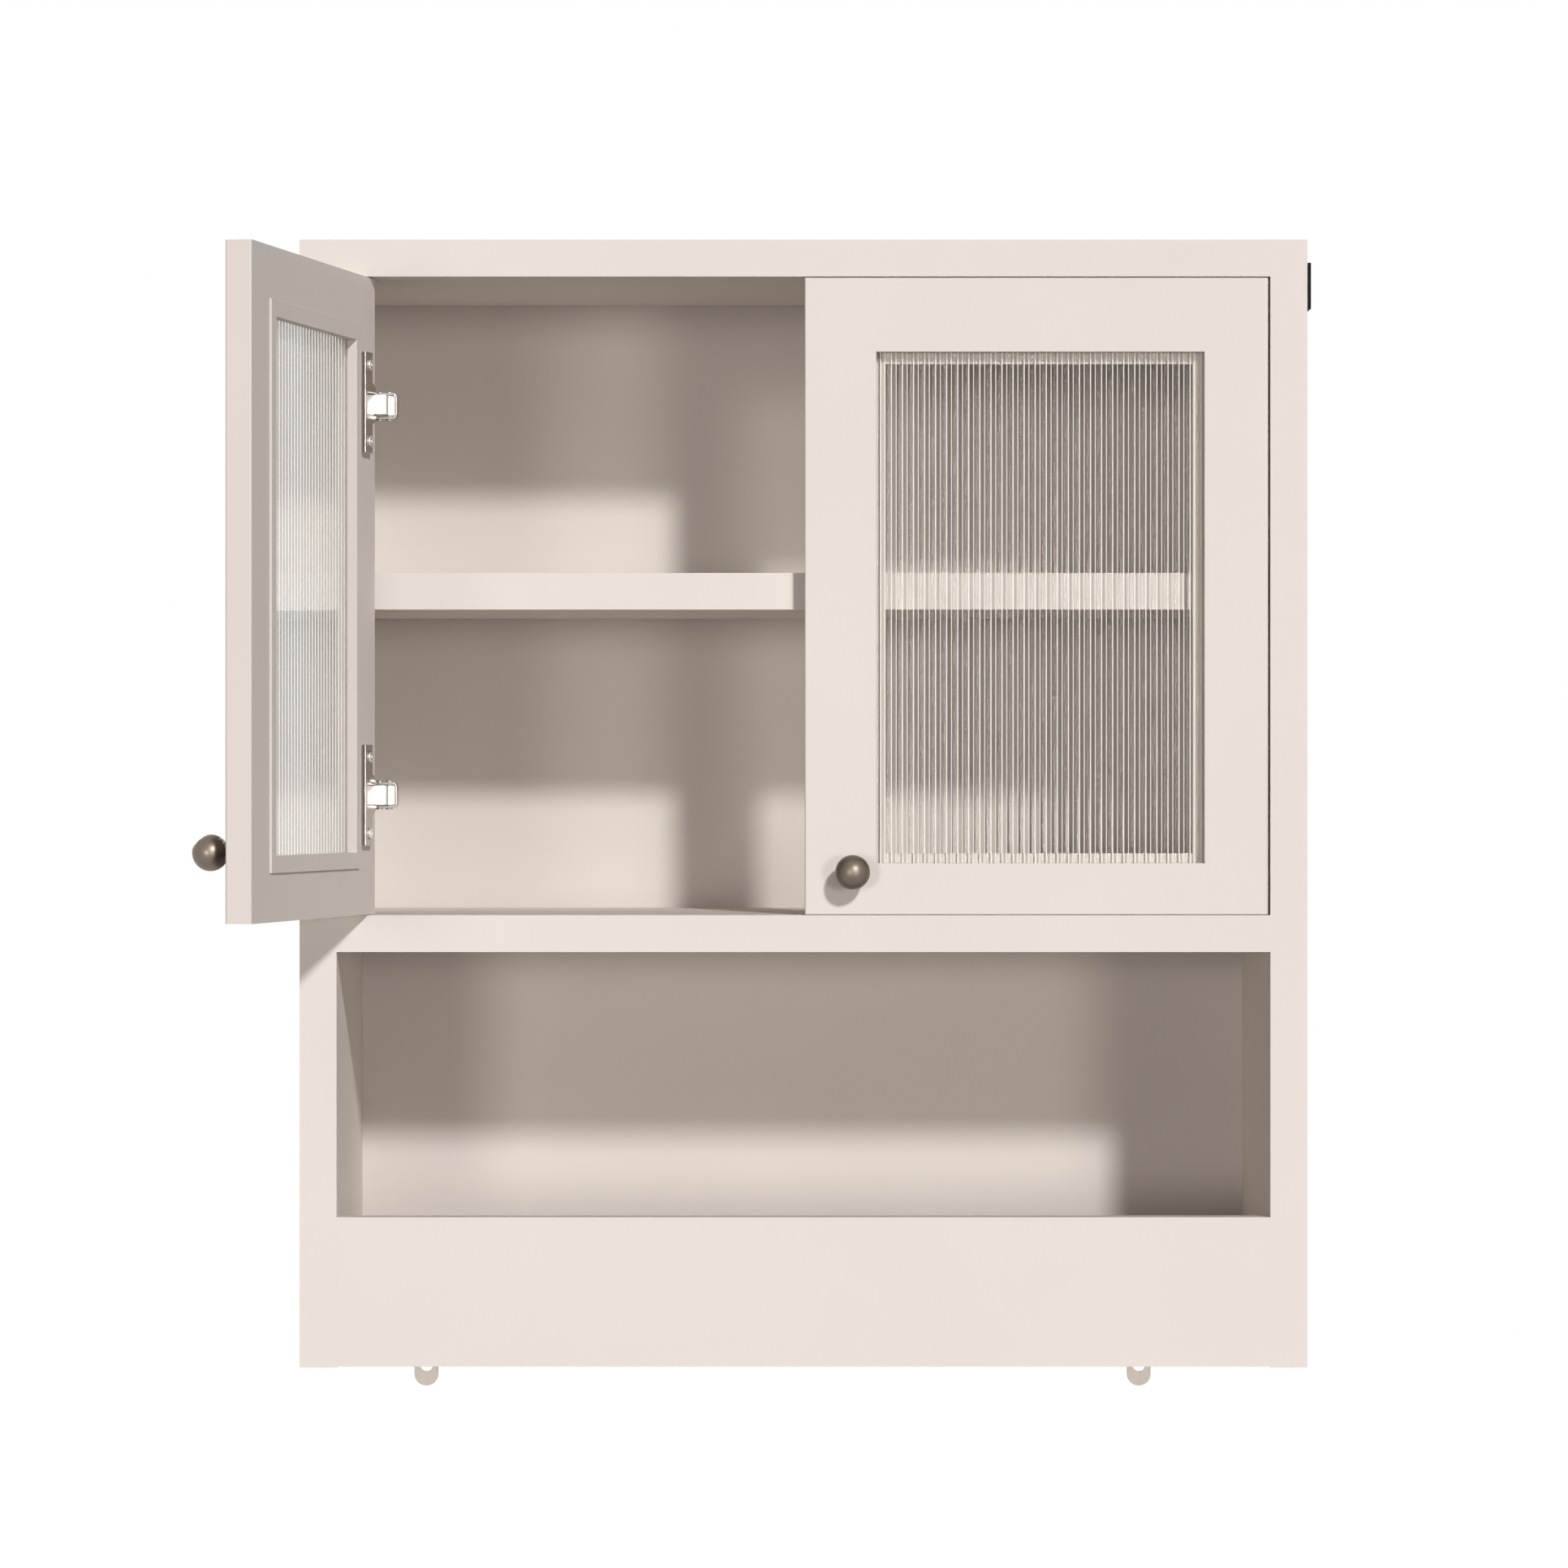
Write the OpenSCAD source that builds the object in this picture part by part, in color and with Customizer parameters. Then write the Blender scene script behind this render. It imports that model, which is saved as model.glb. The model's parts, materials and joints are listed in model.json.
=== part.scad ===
// Wall-hung medicine cabinet: two inset doors with fluted glass over an open bay.
// The cabinet's front faces -Y, its wall side is the plane y = 0, and +Z is up.
// The origin lies on the rear face of the upper hanging rail, at its centre.

/* [Case] */
// Outside width of the case
case_w = 600; // [480:1:900]
// Outside height of the case
case_h = 671.5; // [620:0.5:900]
// Depth from the front plane to the wall
case_d = 238; // [180:1:320]
// Thickness of the side, top, middle and bottom boards
board_t = 22; // [18:0.5:25]
// Clear height of the bay behind the doors
door_bay_h = 380.2; // [360:0.1:420]
// Height of the apron across the lower bay
apron_h = 89.4; // [60:0.1:110]
// Thickness of the apron
apron_t = 16; // [12:0.5:20]
// Thickness of the back panel
back_t = 4; // [3:0.5:6]
// Space between the back panel and the wall
wall_space = 10; // [9:0.5:20]
// Depth of the groove that holds the back panel
groove_deep = 6; // [4:0.5:9]

/* [Shelf] */
// Thickness of the shelf
shelf_t = 22; // [12:0.5:25]
// Drop from the top board's underside to the shelf's top
shelf_drop = 175.8; // [150:0.1:220]
// Gap between the swing of a door's inner corner and the shelf's front edge
shelf_gap = 0.6; // [0.5:0.1:30]
// Radius of a shelf pin
shelf_pin_r = 2.5; // [2:0.1:4]

/* [Doors] */
// Thickness of a door
door_t = 15; // [14.5:0.1:17]
// Gap between a door's hinge edge and the side board
hinge_gap = 1.2; // [1.1:0.1:3]
// Gap between the two doors
middle_gap = 1.6; // [1:0.1:4]
// Gap above a door
top_gap = 0.7; // [0.4:0.1:3]
// Gap below a door
bottom_gap = 0.5; // [0.4:0.1:3]
// Rounding of a door's front vertical edges
door_edge_r = 2; // [1.8:0.1:3]
// How far the left door stands open, in degrees
left_open = 100.5; // [0:0.5:100.5]
// How far the right door stands open, in degrees
right_open = 0; // [0:0.5:100.5]

/* [Glazing] */
// Left sight opening, in from the free, hinge, top and bottom edges
left_sight = [44, 46, 35.5, 33.3]; // [30:0.1:60]
// Left rebate, in from the same four edges
left_rebate = [38, 40.1, 29.5, 27.3]; // [20:0.1:45]
// Left bead's inner edge, in from the same four edges
left_bead = [48.2, 47.9, 39.4, 37.2]; // [36:0.1:65]
// Right sight opening, in from the same four edges
right_sight = [42.5, 37.9, 44, 30.4]; // [30:0.1:60]
// Right rebate, in from the same four edges
right_rebate = [36.5, 34.7, 38, 24.4]; // [20:0.1:45]
// Right bead's inner edge, in from the same four edges
right_bead = [48.3, 44.5, 50.8, 36.2]; // [36:0.1:65]
// Thickness of the door's front lip before the glass
front_lip = 6.2; // [5:0.1:7]
// Full thickness of the fluted glass, ribs included
glass_t = 4; // [3:0.1:5]
// Spacing of the glass ribs
rib_pitch = 6.6; // [4:0.1:9]
// Width of a glass rib
rib_w = 3.8; // [2.6:0.1:3.9]
// Height of a glass rib
rib_h = 0.9; // [0.4:0.1:1.2]
// How far a bead stands out of the door's inner face
bead_proud = 1.3; // [0:0.1:2]

/* [Knobs] */
// Radius of the knob's ball
knob_r = 10.3; // [8:0.1:14]
// Ball centre's distance from the door's face
knob_reach = 16.4; // [14.5:0.1:24]
// Knob's distance from the door's free edge
knob_in = 28.3; // [14:0.1:30]
// Height of the left knob above its door's lower edge
left_knob_up = 39.1; // [15:0.1:60]
// Height of the right knob above its door's lower edge
right_knob_up = 25.2; // [15:0.1:60]
// Radius of the knob screw's shank
knob_screw_r = 2; // [1.5:0.1:2.5]

/* [Hinges] */
// Radius of a hinge cup
cup_r = 13; // [12.8:0.1:13.2]
// Depth of a hinge cup's bore in the door
cup_deep = 12.3; // [12:0.1:12.5]
// Cup centre's distance from the door's hinge edge
cup_in = 18.5; // [18.3:0.1:18.7]
// Upper hinge centre below the door's top
upper_hinge_down = 75.2; // [50:0.1:110]
// Lower hinge centre above the door's bottom
lower_hinge_up = 70.9; // [50:0.1:110]
// Hinge pin's distance from the door's hinge edge
pin_in = 10; // [9.8:0.1:10.5]
// Radius of a hinge pin
pin_r = 1.25; // [1.0:0.05:1.3]
// Distance between the two screws of a cup's flange
cup_screw_gap = 45.4; // [44:0.1:52]
// Height of a cup's flange
flange_h = 60; // [56:0.5:66]
// Thickness of a cup's flange
flange_t = 2.9; // [1.5:0.1:3]
// How far a hinge's arm stands in from the side board
arm_out = 34.7; // [33:0.1:35]
// Height of a hinge arm
arm_h = 15.5; // [15:0.1:20]

/* [Wall fixing] */
// Height of the upper hanging rail
rail_h = 79; // [60:1:100]
// Height of the lower rail above the bottom board
low_rail_h = 50; // [45:1:70]
// Left lug's centre from the left outer face
left_lug_in = 61.7; // [40:0.1:120]
// Right lug's centre from the right outer face
right_lug_in = 86.7; // [40:0.1:120]
// Width of a wall lug
lug_w = 15; // [12:0.5:24]
// Reach of a lug below the case
lug_reach = 34; // [30:0.5:50]
// Radius of a lug's hole
lug_hole_r = 4; // [2.5:0.1:5]
// Lug hole's distance below the case
lug_hole_down = 21; // [16:0.5:21]
// Distance from a hanger's keyhole to the side board
hanger_in = 60; // [40:1:120]

/* [Side hook] */
// Height of the hook's upturned lip
hook_h = 28.5; // [20:0.5:40]
// Width of the hook along the side board
hook_w = 20; // [12:0.5:30]
// How far the hook stands off the side board
hook_out = 11.6; // [10:0.1:30]
// Distance from the front plane to the hook's near edge
hook_back = 109; // [40:1:140]
// Thickness of the hook's strip
hook_t = 2; // [1.5:0.1:3]

/* [Hidden] */
$fn = 48;
eps = 0.01;

// Clearances
run_fit = 0.05;
slip_fit = 0.2;
soft_gap = 0.3;
bore_past = 0.5;
panel_play = 0.5;
glass_play = 0.8;
glass_seal = 0.1;
pin_fit = 0.02;
pin_short = 0.1;
boss_gap = 0.1;

// Case, worked out from the driving sizes
clear_w = case_w - 2 * board_t;
rail_top = case_h - board_t;
z0 = -(rail_top - rail_h / 2);
case_top = z0 + case_h;
front_y = -case_d;
back_y = -wall_space - back_t;
top_under = case_top - board_t;
divider_top = top_under - door_bay_h;
apron_set = 0.5;
shelf_top = top_under - shelf_drop;
shelf_side_gap = 0.8;
pin_proud = 8;
pin_sunk = 10;
pin_y_front = front_y + 60;
pin_y_rear = back_y - 45;

// Dowels
dowel_r = 4;
dowel_side = 12;
dowel_end = 18;
dowel_inset = 38;
dowel_y = [front_y + dowel_inset, front_y / 2, back_y - dowel_inset];
apron_dowel_up = [apron_h * 0.4, apron_h * 0.72];

// Doors
door_w = (clear_w - 2 * hinge_gap - middle_gap) / 2;
door_h = door_bay_h - top_gap - bottom_gap;
door_z = divider_top + bottom_gap;
inner_edge_r = 0.8;
bead_front = front_lip + glass_t + 2 * glass_seal;
knob_foot_r = knob_r * 0.48;
knob_foot_h = 1.6;
knob_neck_r = knob_r * 0.36;
knob_screw_in = 12;
knob_screw_out = knob_reach - 3.5;
upper_z = door_z + door_h - upper_hinge_down;
lower_z = door_z + lower_hinge_up;

// Hinge: the pin lies in the cup, and the neck hooks round the door's edge to reach it
cup_floor = 0.7;
knuckle_r = pin_r + 0.95;
pin_y = door_t - cup_deep + cup_floor + knuckle_r + 0.25;
pin_x = hinge_gap + pin_in;
door_sweep = pin_y + sqrt(pin_in * pin_in + (door_t - pin_y) * (door_t - pin_y));
shelf_front = front_y + door_sweep + shelf_gap;
neck_t = 2.2;
neck_y = pin_y - knuckle_r + 0.1;
neck_out = hinge_gap + cup_in + 10.6;
neck_half = 5.7;
elbow_r = 3;
tail_x = 22;
tail_y = door_t + flange_t + 0.5;
tail_len = 13;
cheek_t = 1.5;
boss_r = 2.7;
boss_h = arm_h / 2 - cheek_t - boss_gap;
pocket_half = neck_half + 0.5;
pocket_from = pin_in - knuckle_r - 0.4;
pocket_to = neck_out - hinge_gap + 0.5;
pin_half = pocket_half + 1.9;
rim_r = cup_r + 1;
rim_top_r = cup_r - 0.6;
flange_from = 17;
flange_to = 34;
cup_screw_x = 23.5;
cup_screw_r = 1.75;
cup_screw_len = 9;
cup_head_r = 3.5;
cup_head_h = 1;
rivet_r = 1.5;
rivet_head_r = 2.3;
rivet_head_h = 0.8;
rivet_x = [arm_out - 4.9, arm_out - 10.7];
rivet_y = tail_y + 5.5;
arm_rear = 100;
arm_round = 3;
arm_top_x = 16;
arm_low_x = 6;
plate_x = arm_top_x - cheek_t;
plate_from = 46;
plate_to = 98;
wing_from = 52;
wing_to = 64;
wing_half = 26;
slope_from = tail_y + tail_len + 4;
slope_to = wing_from + 10;
under_from = tail_y + tail_len + 2;
under_to = wing_from + 3;
wing_t = 2.4;
plate_screw_z = 16;
plate_screw_r = 1.8;
plate_screw_len = 13;
plate_head_r = 3.6;
plate_head_h = 2;
arm_screw_y = 86;
arm_screw_r = 2;
arm_screw_from = 4.5;
arm_head_r = 3.8;
arm_head_h = 2.4;

// Wall fixing
lug_t = 2;
lug_up = 58;
lug_screw_up = [11, 48];
lug_screw_r = 1.75;
lug_screw_len = 7;
left_lug_x = -case_w / 2 + left_lug_in;
right_lug_x = case_w / 2 - right_lug_in;
hanger_w = 22;
hanger_h = 46;
hanger_t = 2;
hanger_pocket = 6.5;
hanger_pocket_w = 16;
hanger_pocket_h = 23;
key_head_r = 5;
key_slot_r = 2.6;
key_rise = 9;
hanger_screw_up = 17;

// Hook
hook_drop = 4.4;
hook_top = case_top - hook_drop;
hook_y = front_y + hook_back;
hook_base_h = hook_h + 4;
hook_bend_r = 3;
hook_screw_r = 1.6;
hook_screw_len = 8;
hook_screw_up = [8, hook_h - 6];

// Colours
paint = [0.92, 0.88, 0.85];
hidden_board = [0.72, 0.66, 0.60];
nickel = [0.62, 0.62, 0.62];
bronze = [0.27, 0.22, 0.18];
lug_grey = [0.80, 0.77, 0.73];
glass_tint = [0.80, 0.86, 0.84, 0.5];
beech = [0.80, 0.66, 0.47];
black = [0.08, 0.08, 0.09];

// A block given by its lowest and highest corners
module block(a, b) {
    translate(a) cube(b - a);
}

// A rod along X, Y or Z from a point
module rod_x(p, r, len) { translate(p) rotate([0, 90, 0]) cylinder(r = r, h = len); }
module rod_y(p, r, len) { translate(p) rotate([-90, 0, 0]) cylinder(r = r, h = len); }
module rod_z(p, r, len) { translate(p) cylinder(r = r, h = len); }

// What is left of a square corner when it is rounded with radius r
module corner_waste(r) {
    difference() {
        translate([-eps, -eps]) square(r + eps);
        translate([r, r]) circle(r = r);
    }
}

// Case space: x from the side board's inner face, y from the front plane
module hinge_side(side) {
    if (side == "left") translate([-clear_w / 2, front_y, 0]) children();
    else mirror([1, 0, 0]) translate([-clear_w / 2, front_y, 0]) children();
}

// Door space: the same axes, turned about the hinge pin by the door's opening
module door_side(side) {
    turn = side == "left" ? left_open : right_open;
    hinge_side(side)
        translate([pin_x, pin_y, 0])
            rotate([0, 0, -turn])
                translate([-pin_x, -pin_y, 0])
                    children();
}

// The dowels of one board's end at x, laid along X from the side board into the board
module dowel_row(x, z, ys, grow) {
    for (y = ys) rod_x([x - dowel_side - grow, y, z], dowel_r + (grow > 0 ? run_fit : 0),
        dowel_side + dowel_end + 2 * grow);
}

module left_dowels(grow) {
    for (z = [case_top - board_t / 2, divider_top - board_t / 2, z0 + apron_set + board_t / 2])
        dowel_row(-clear_w / 2, z, dowel_y, grow);
    for (up = apron_dowel_up)
        dowel_row(-clear_w / 2, z0 + apron_set + up, [front_y + apron_t / 2], grow);
}

module all_dowels(grow) {
    left_dowels(grow);
    mirror([1, 0, 0]) left_dowels(grow);
}

// The shelf pins of the left side
module left_shelf_pins(grow) {
    for (y = [pin_y_front, pin_y_rear])
        rod_x([-clear_w / 2 - pin_sunk - grow, y, shelf_top - shelf_t - shelf_pin_r],
            shelf_pin_r + (grow > 0 ? run_fit : 0), pin_sunk + (grow > 0 ? 2 * grow : pin_proud));
}

// The space that the back panel's edge takes in the boards round it
module back_groove() {
    reach = clear_w / 2 + groove_deep;
    block([-reach, back_y - slip_fit, z0 + apron_set + board_t - groove_deep],
        [reach, -wall_space + slip_fit, top_under + groove_deep]);
}

module plate_screw_set(side, z, grow) {
    hinge_side(side)
        for (dz = [-plate_screw_z, plate_screw_z])
            rod_x([-plate_screw_len - grow, (wing_from + wing_to) / 2, z + dz],
                plate_screw_r + (grow > 0 ? run_fit : 0), plate_screw_len + grow + eps);
}

module side_panel(side) {
    s = side == "left" ? -1 : 1;
    difference() {
        translate([s > 0 ? clear_w / 2 : -case_w / 2, front_y, z0])
            cube([board_t, case_d, case_h]);
        back_groove();
        all_dowels(bore_past);
        left_shelf_pins(bore_past);
        mirror([1, 0, 0]) left_shelf_pins(bore_past);
        for (z = [upper_z, lower_z]) plate_screw_set(side, z, bore_past);
        if (side == "right") hook_screw_holes();
    }
}

module left_side_panel() { color(paint) side_panel("left"); }
module right_side_panel() { color(paint) side_panel("right"); }

// A board between the sides, from the front plane to y_end
module cross_board(z, y_end) {
    difference() {
        block([-clear_w / 2, front_y, z], [clear_w / 2, y_end, z + board_t]);
        back_groove();
        all_dowels(bore_past);
    }
}

module top_panel() { color(paint) cross_board(top_under, 0); }
module divider_panel() { color(paint) cross_board(divider_top - board_t, back_y - slip_fit); }

module bottom_panel() {
    color(paint) difference() {
        block([-clear_w / 2, front_y + apron_t, z0 + apron_set],
            [clear_w / 2, 0, z0 + apron_set + board_t]);
        back_groove();
        all_dowels(bore_past);
        lug_recesses();
        for (x = [left_lug_x, right_lug_x]) lug_screw_at(x, lug_screw_up[0], bore_past);
    }
}

module back_panel() {
    reach = clear_w / 2 + groove_deep - panel_play;
    color(paint)
        block([-reach, back_y, z0 + apron_set + board_t - groove_deep + panel_play],
            [reach, -wall_space, top_under + groove_deep - panel_play]);
}

module front_apron() {
    color(paint) difference() {
        block([-clear_w / 2, front_y, z0 + apron_set],
            [clear_w / 2, front_y + apron_t, z0 + apron_h]);
        all_dowels(bore_past);
    }
}

module shelf() {
    color(paint)
        block([-clear_w / 2 + shelf_side_gap, shelf_front, shelf_top - shelf_t],
            [clear_w / 2 - shelf_side_gap, back_y - soft_gap, shelf_top]);
}

module shelf_pins() {
    color(nickel) {
        left_shelf_pins(0);
        mirror([1, 0, 0]) left_shelf_pins(0);
    }
}

module panel_dowels() { color(beech) all_dowels(0); }

// The plate with a keyhole that hangs on a wall screw, and its place in the rail
module hanger_outline(grow) {
    translate([-hanger_w / 2 - grow, -hanger_h / 2 - grow])
        square([hanger_w + 2 * grow, hanger_h + 2 * grow]);
}

module keyhole() {
    circle(r = key_head_r);
    translate([0, key_rise]) circle(r = key_slot_r);
    translate([-key_slot_r, 0]) square([2 * key_slot_r, key_rise]);
}

// Moves a shape drawn in X and Z so that it runs back from the wall plane by t
module on_wall(x, z, t) {
    translate([x, 0, z]) rotate([90, 0, 0]) linear_extrude(t) children();
}

hanger_x = clear_w / 2 - hanger_in;

module hanger_screw_set(x, grow) {
    for (dz = [-hanger_screw_up, hanger_screw_up])
        rod_y([x, -hanger_t - lug_screw_len - grow, dz],
            lug_screw_r + (grow > 0 ? run_fit : 0), hanger_t + lug_screw_len + grow + eps);
}

module upper_rail() {
    color(hidden_board) difference() {
        block([-clear_w / 2, -wall_space, -rail_h / 2], [clear_w / 2, 0, rail_h / 2]);
        for (x = [-hanger_x, hanger_x]) {
            translate([0, eps, 0]) on_wall(x, 0, hanger_t + eps) hanger_outline(slip_fit);
            on_wall(x, 0, hanger_pocket) translate([-hanger_pocket_w / 2, -hanger_pocket_w / 2])
                square([hanger_pocket_w, hanger_pocket_h]);
            hanger_screw_set(x, bore_past);
        }
    }
}

module lower_rail() {
    base = z0 + apron_set + board_t;
    color(hidden_board) difference() {
        block([-clear_w / 2, -wall_space, base], [clear_w / 2, 0, base + low_rail_h]);
        lug_recesses();
        for (x = [left_lug_x, right_lug_x]) lug_screw_at(x, lug_screw_up[1], bore_past);
    }
}

module hanger_plates() {
    color(nickel)
        for (x = [-hanger_x, hanger_x])
            difference() {
                on_wall(x, 0, hanger_t) difference() {
                    hanger_outline(0);
                    keyhole();
                }
                hanger_screw_set(x, bore_past);
            }
}

module hanger_screws() {
    color(nickel) for (x = [-hanger_x, hanger_x]) hanger_screw_set(x, 0);
}

module lug_recesses() {
    for (x = [left_lug_x, right_lug_x])
        block([x - lug_w / 2 - slip_fit, -lug_t, z0 - 1],
            [x + lug_w / 2 + slip_fit, 1, z0 + lug_up + slip_fit]);
}

module lug_screw_at(x, up, grow) {
    rod_y([x, -lug_t - lug_screw_len - grow, z0 + up],
        lug_screw_r + (grow > 0 ? run_fit : 0), lug_t + lug_screw_len + grow + eps);
}

module wall_lug(x) {
    color(lug_grey) difference() {
        on_wall(x, z0, lug_t) difference() {
            union() {
                translate([-lug_w / 2, -lug_reach + lug_w / 2])
                    square([lug_w, lug_up + lug_reach - lug_w / 2]);
                translate([0, -lug_reach + lug_w / 2]) circle(r = lug_w / 2);
            }
            translate([0, -lug_hole_down]) circle(r = lug_hole_r);
        }
        for (up = lug_screw_up) lug_screw_at(x, up, bore_past);
    }
}

module left_wall_lug() { wall_lug(left_lug_x); }
module right_wall_lug() { wall_lug(right_lug_x); }

module lug_screws() {
    color(nickel)
        for (x = [left_lug_x, right_lug_x])
            for (up = lug_screw_up) lug_screw_at(x, up, 0);
}

// A strip bent to a J: a base on the side board, a floor and an upturned lip
module side_hook() {
    x = case_w / 2;
    color(black) difference() {
        translate([x, hook_y + hook_w, 0]) rotate([90, 0, 0]) linear_extrude(hook_w)
            difference() {
                translate([0, hook_top - hook_base_h]) square([hook_out, hook_base_h]);
                translate([hook_t, hook_top - hook_h + hook_t])
                    square([hook_out - 2 * hook_t, hook_base_h]);
                translate([hook_out, hook_top - hook_base_h]) mirror([1, 0]) corner_waste(hook_bend_r);
                translate([hook_t, hook_top - hook_base_h - eps])
                    square([hook_out, hook_base_h - hook_h + eps]);
            }
        hook_screw_holes();
    }
}

module hook_screw_set(grow) {
    for (up = hook_screw_up)
        rod_x([case_w / 2 - hook_screw_len - grow, hook_y + hook_w / 2, hook_top - hook_h + up],
            hook_screw_r + (grow > 0 ? run_fit : 0), hook_screw_len + hook_t + 2 * grow);
}

module hook_screw_holes() { hook_screw_set(bore_past); }

module hook_screws() {
    color(black) hook_screw_set(0);
}

// The door's plan, with its front edges rounded
module door_plan() {
    difference() {
        translate([hinge_gap, 0]) square([door_w, door_t]);
        translate([hinge_gap, 0]) corner_waste(door_edge_r);
        translate([hinge_gap + door_w, 0]) mirror([1, 0]) corner_waste(door_edge_r / 2);
        translate([hinge_gap, door_t]) mirror([0, 1]) corner_waste(inner_edge_r);
        translate([hinge_gap + door_w, door_t]) rotate(180) corner_waste(inner_edge_r);
    }
}

// A window through a door, in from its free, hinge, top and bottom edges
module window(inset, grow, y_from, y_to) {
    block([hinge_gap + inset[1] - grow, y_from, door_z + inset[3] - grow],
        [hinge_gap + door_w - inset[0] + grow, y_to, door_z + door_h - inset[2] + grow]);
}

module cup_screw_set(z, grow) {
    for (dz = [-cup_screw_gap / 2, cup_screw_gap / 2])
        rod_y([hinge_gap + cup_screw_x, door_t - cup_screw_len - grow, z + dz],
            cup_screw_r + (grow > 0 ? run_fit : 0), cup_screw_len + flange_t + grow + eps);
}

function knob_at(side) = [
    hinge_gap + door_w - knob_in, 0, door_z + (side == "left" ? left_knob_up : right_knob_up)
];

module door_frame(side, sight, rebate) {
    color(paint) door_side(side) difference() {
        translate([0, 0, door_z]) linear_extrude(door_h) door_plan();
        window(sight, 0, -1, door_t + 1);
        window(rebate, 0, front_lip, door_t + 1);
        for (z = [upper_z, lower_z]) {
            rod_y([hinge_gap + cup_in, door_t - cup_deep, z], cup_r + run_fit, cup_deep + 1);
            cup_screw_set(z, bore_past);
        }
        rod_y(knob_at(side) - [0, 1, 0], knob_screw_r + run_fit, knob_screw_in + bore_past + 1);
    }
}

module left_door_frame() { door_frame("left", left_sight, left_rebate); }
module right_door_frame() { door_frame("right", right_sight, right_rebate); }

// Clear glass with upright round ribs and flat lands between them on its front
module fluted_glass(side, rebate) {
    w = door_w - rebate[0] - rebate[1] - 2 * glass_play;
    h = door_h - rebate[2] - rebate[3] - 2 * glass_play;
    half = rib_w / 2;
    rib_r = (half * half + rib_h * rib_h) / (2 * rib_h);
    count = floor(w / rib_pitch);
    start = (w - (count - 1) * rib_pitch) / 2;
    color(glass_tint) door_side(side)
        translate([hinge_gap + rebate[1] + glass_play, front_lip + glass_seal,
            door_z + rebate[3] + glass_play])
            linear_extrude(h) {
                translate([0, rib_h]) square([w, glass_t - rib_h]);
                intersection() {
                    square([w, glass_t]);
                    for (i = [0:count - 1])
                        translate([start + i * rib_pitch, rib_r]) circle(r = rib_r);
                }
            }
}

module left_fluted_glass() { fluted_glass("left", left_rebate); }
module right_fluted_glass() { fluted_glass("right", right_rebate); }

// The frame that holds the glass in its rebate from behind
module glass_bead(side, rebate, bead) {
    color(paint) door_side(side) difference() {
        window(rebate, -slip_fit, bead_front, door_t + bead_proud);
        window(bead, 0, bead_front - 1, door_t + bead_proud + 1);
    }
}

module left_glass_bead() { glass_bead("left", left_rebate, left_bead); }
module right_glass_bead() { glass_bead("right", right_rebate, right_bead); }

// A ball on a short neck with a foot ring, turned about the screw's axis
module knob(side) {
    color(bronze) door_side(side) translate(knob_at(side)) rotate([90, 0, 0])
        difference() {
            union() {
                cylinder(r = knob_foot_r, h = knob_foot_h);
                cylinder(r = knob_neck_r, h = knob_reach);
                translate([0, 0, knob_reach]) sphere(r = knob_r);
            }
            translate([0, 0, -1]) cylinder(r = knob_screw_r + run_fit, h = knob_reach - 1);
        }
}

module left_knob() { knob("left"); }
module right_knob() { knob("right"); }

// The headless screw that holds the knob, threaded at both ends
module knob_screw(side) {
    color(nickel) door_side(side) translate(knob_at(side))
        rod_y([0, -knob_screw_out, 0], knob_screw_r, knob_screw_out + knob_screw_in);
}

module left_knob_screw() { knob_screw("left"); }
module right_knob_screw() { knob_screw("right"); }

// The cup in its bore, with the plate of its flange and the tapered rim on the door's inner face
module hinge_cup(side, z) {
    color(nickel) door_side(side) difference() {
        union() {
            rod_y([hinge_gap + cup_in, door_t - cup_deep, z], cup_r, cup_deep + eps);
            block([hinge_gap + flange_from, door_t, z - flange_h / 2],
                [hinge_gap + flange_to, door_t + flange_t, z + flange_h / 2]);
            translate([hinge_gap + cup_in, door_t, z])
                rotate([-90, 0, 0]) cylinder(r1 = rim_r, r2 = rim_top_r, h = flange_t);
        }
        block([hinge_gap + pocket_from, door_t - cup_deep + cup_floor, z - pocket_half],
            [hinge_gap + pocket_to, door_t + flange_t + 1, z + pocket_half]);
        rod_z([pin_x, pin_y, z - pin_half], pin_r + pin_fit, 2 * pin_half);
        cup_screw_set(z, bore_past);
    }
}

module left_upper_hinge_cup() { hinge_cup("left", upper_z); }
module left_lower_hinge_cup() { hinge_cup("left", lower_z); }
module right_upper_hinge_cup() { hinge_cup("right", upper_z); }
module right_lower_hinge_cup() { hinge_cup("right", lower_z); }

module cup_screws(side) {
    color(nickel) door_side(side)
        for (z = [upper_z, lower_z]) {
            cup_screw_set(z, 0);
            for (dz = [-cup_screw_gap / 2, cup_screw_gap / 2])
                rod_y([hinge_gap + cup_screw_x, door_t + flange_t, z + dz],
                    cup_head_r, cup_head_h);
        }
}

module left_cup_screws() { cup_screws("left"); }
module right_cup_screws() { cup_screws("right"); }

module hinge_pins(side) {
    color(nickel) hinge_side(side)
        for (z = [upper_z, lower_z])
            rod_z([pin_x, pin_y, z - pin_half + pin_short], pin_r, 2 * (pin_half - pin_short));
}

module left_hinge_pins() { hinge_pins("left"); }
module right_hinge_pins() { hinge_pins("right"); }

// The swan-neck in plan: knuckle, leg out of the cup, elbow and leg back into the case
module neck_plan() {
    difference() {
        union() {
            translate([pin_x, pin_y]) circle(r = knuckle_r);
            translate([pin_x, neck_y]) square([neck_out - pin_x, neck_t]);
            translate([neck_out - neck_t, neck_y]) square([neck_t, tail_y + 1 - neck_y]);
        }
        translate([neck_out, neck_y]) mirror([1, 0]) corner_waste(elbow_r);
        translate([pin_x, pin_y]) circle(r = pin_r + run_fit);
    }
}

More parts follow.
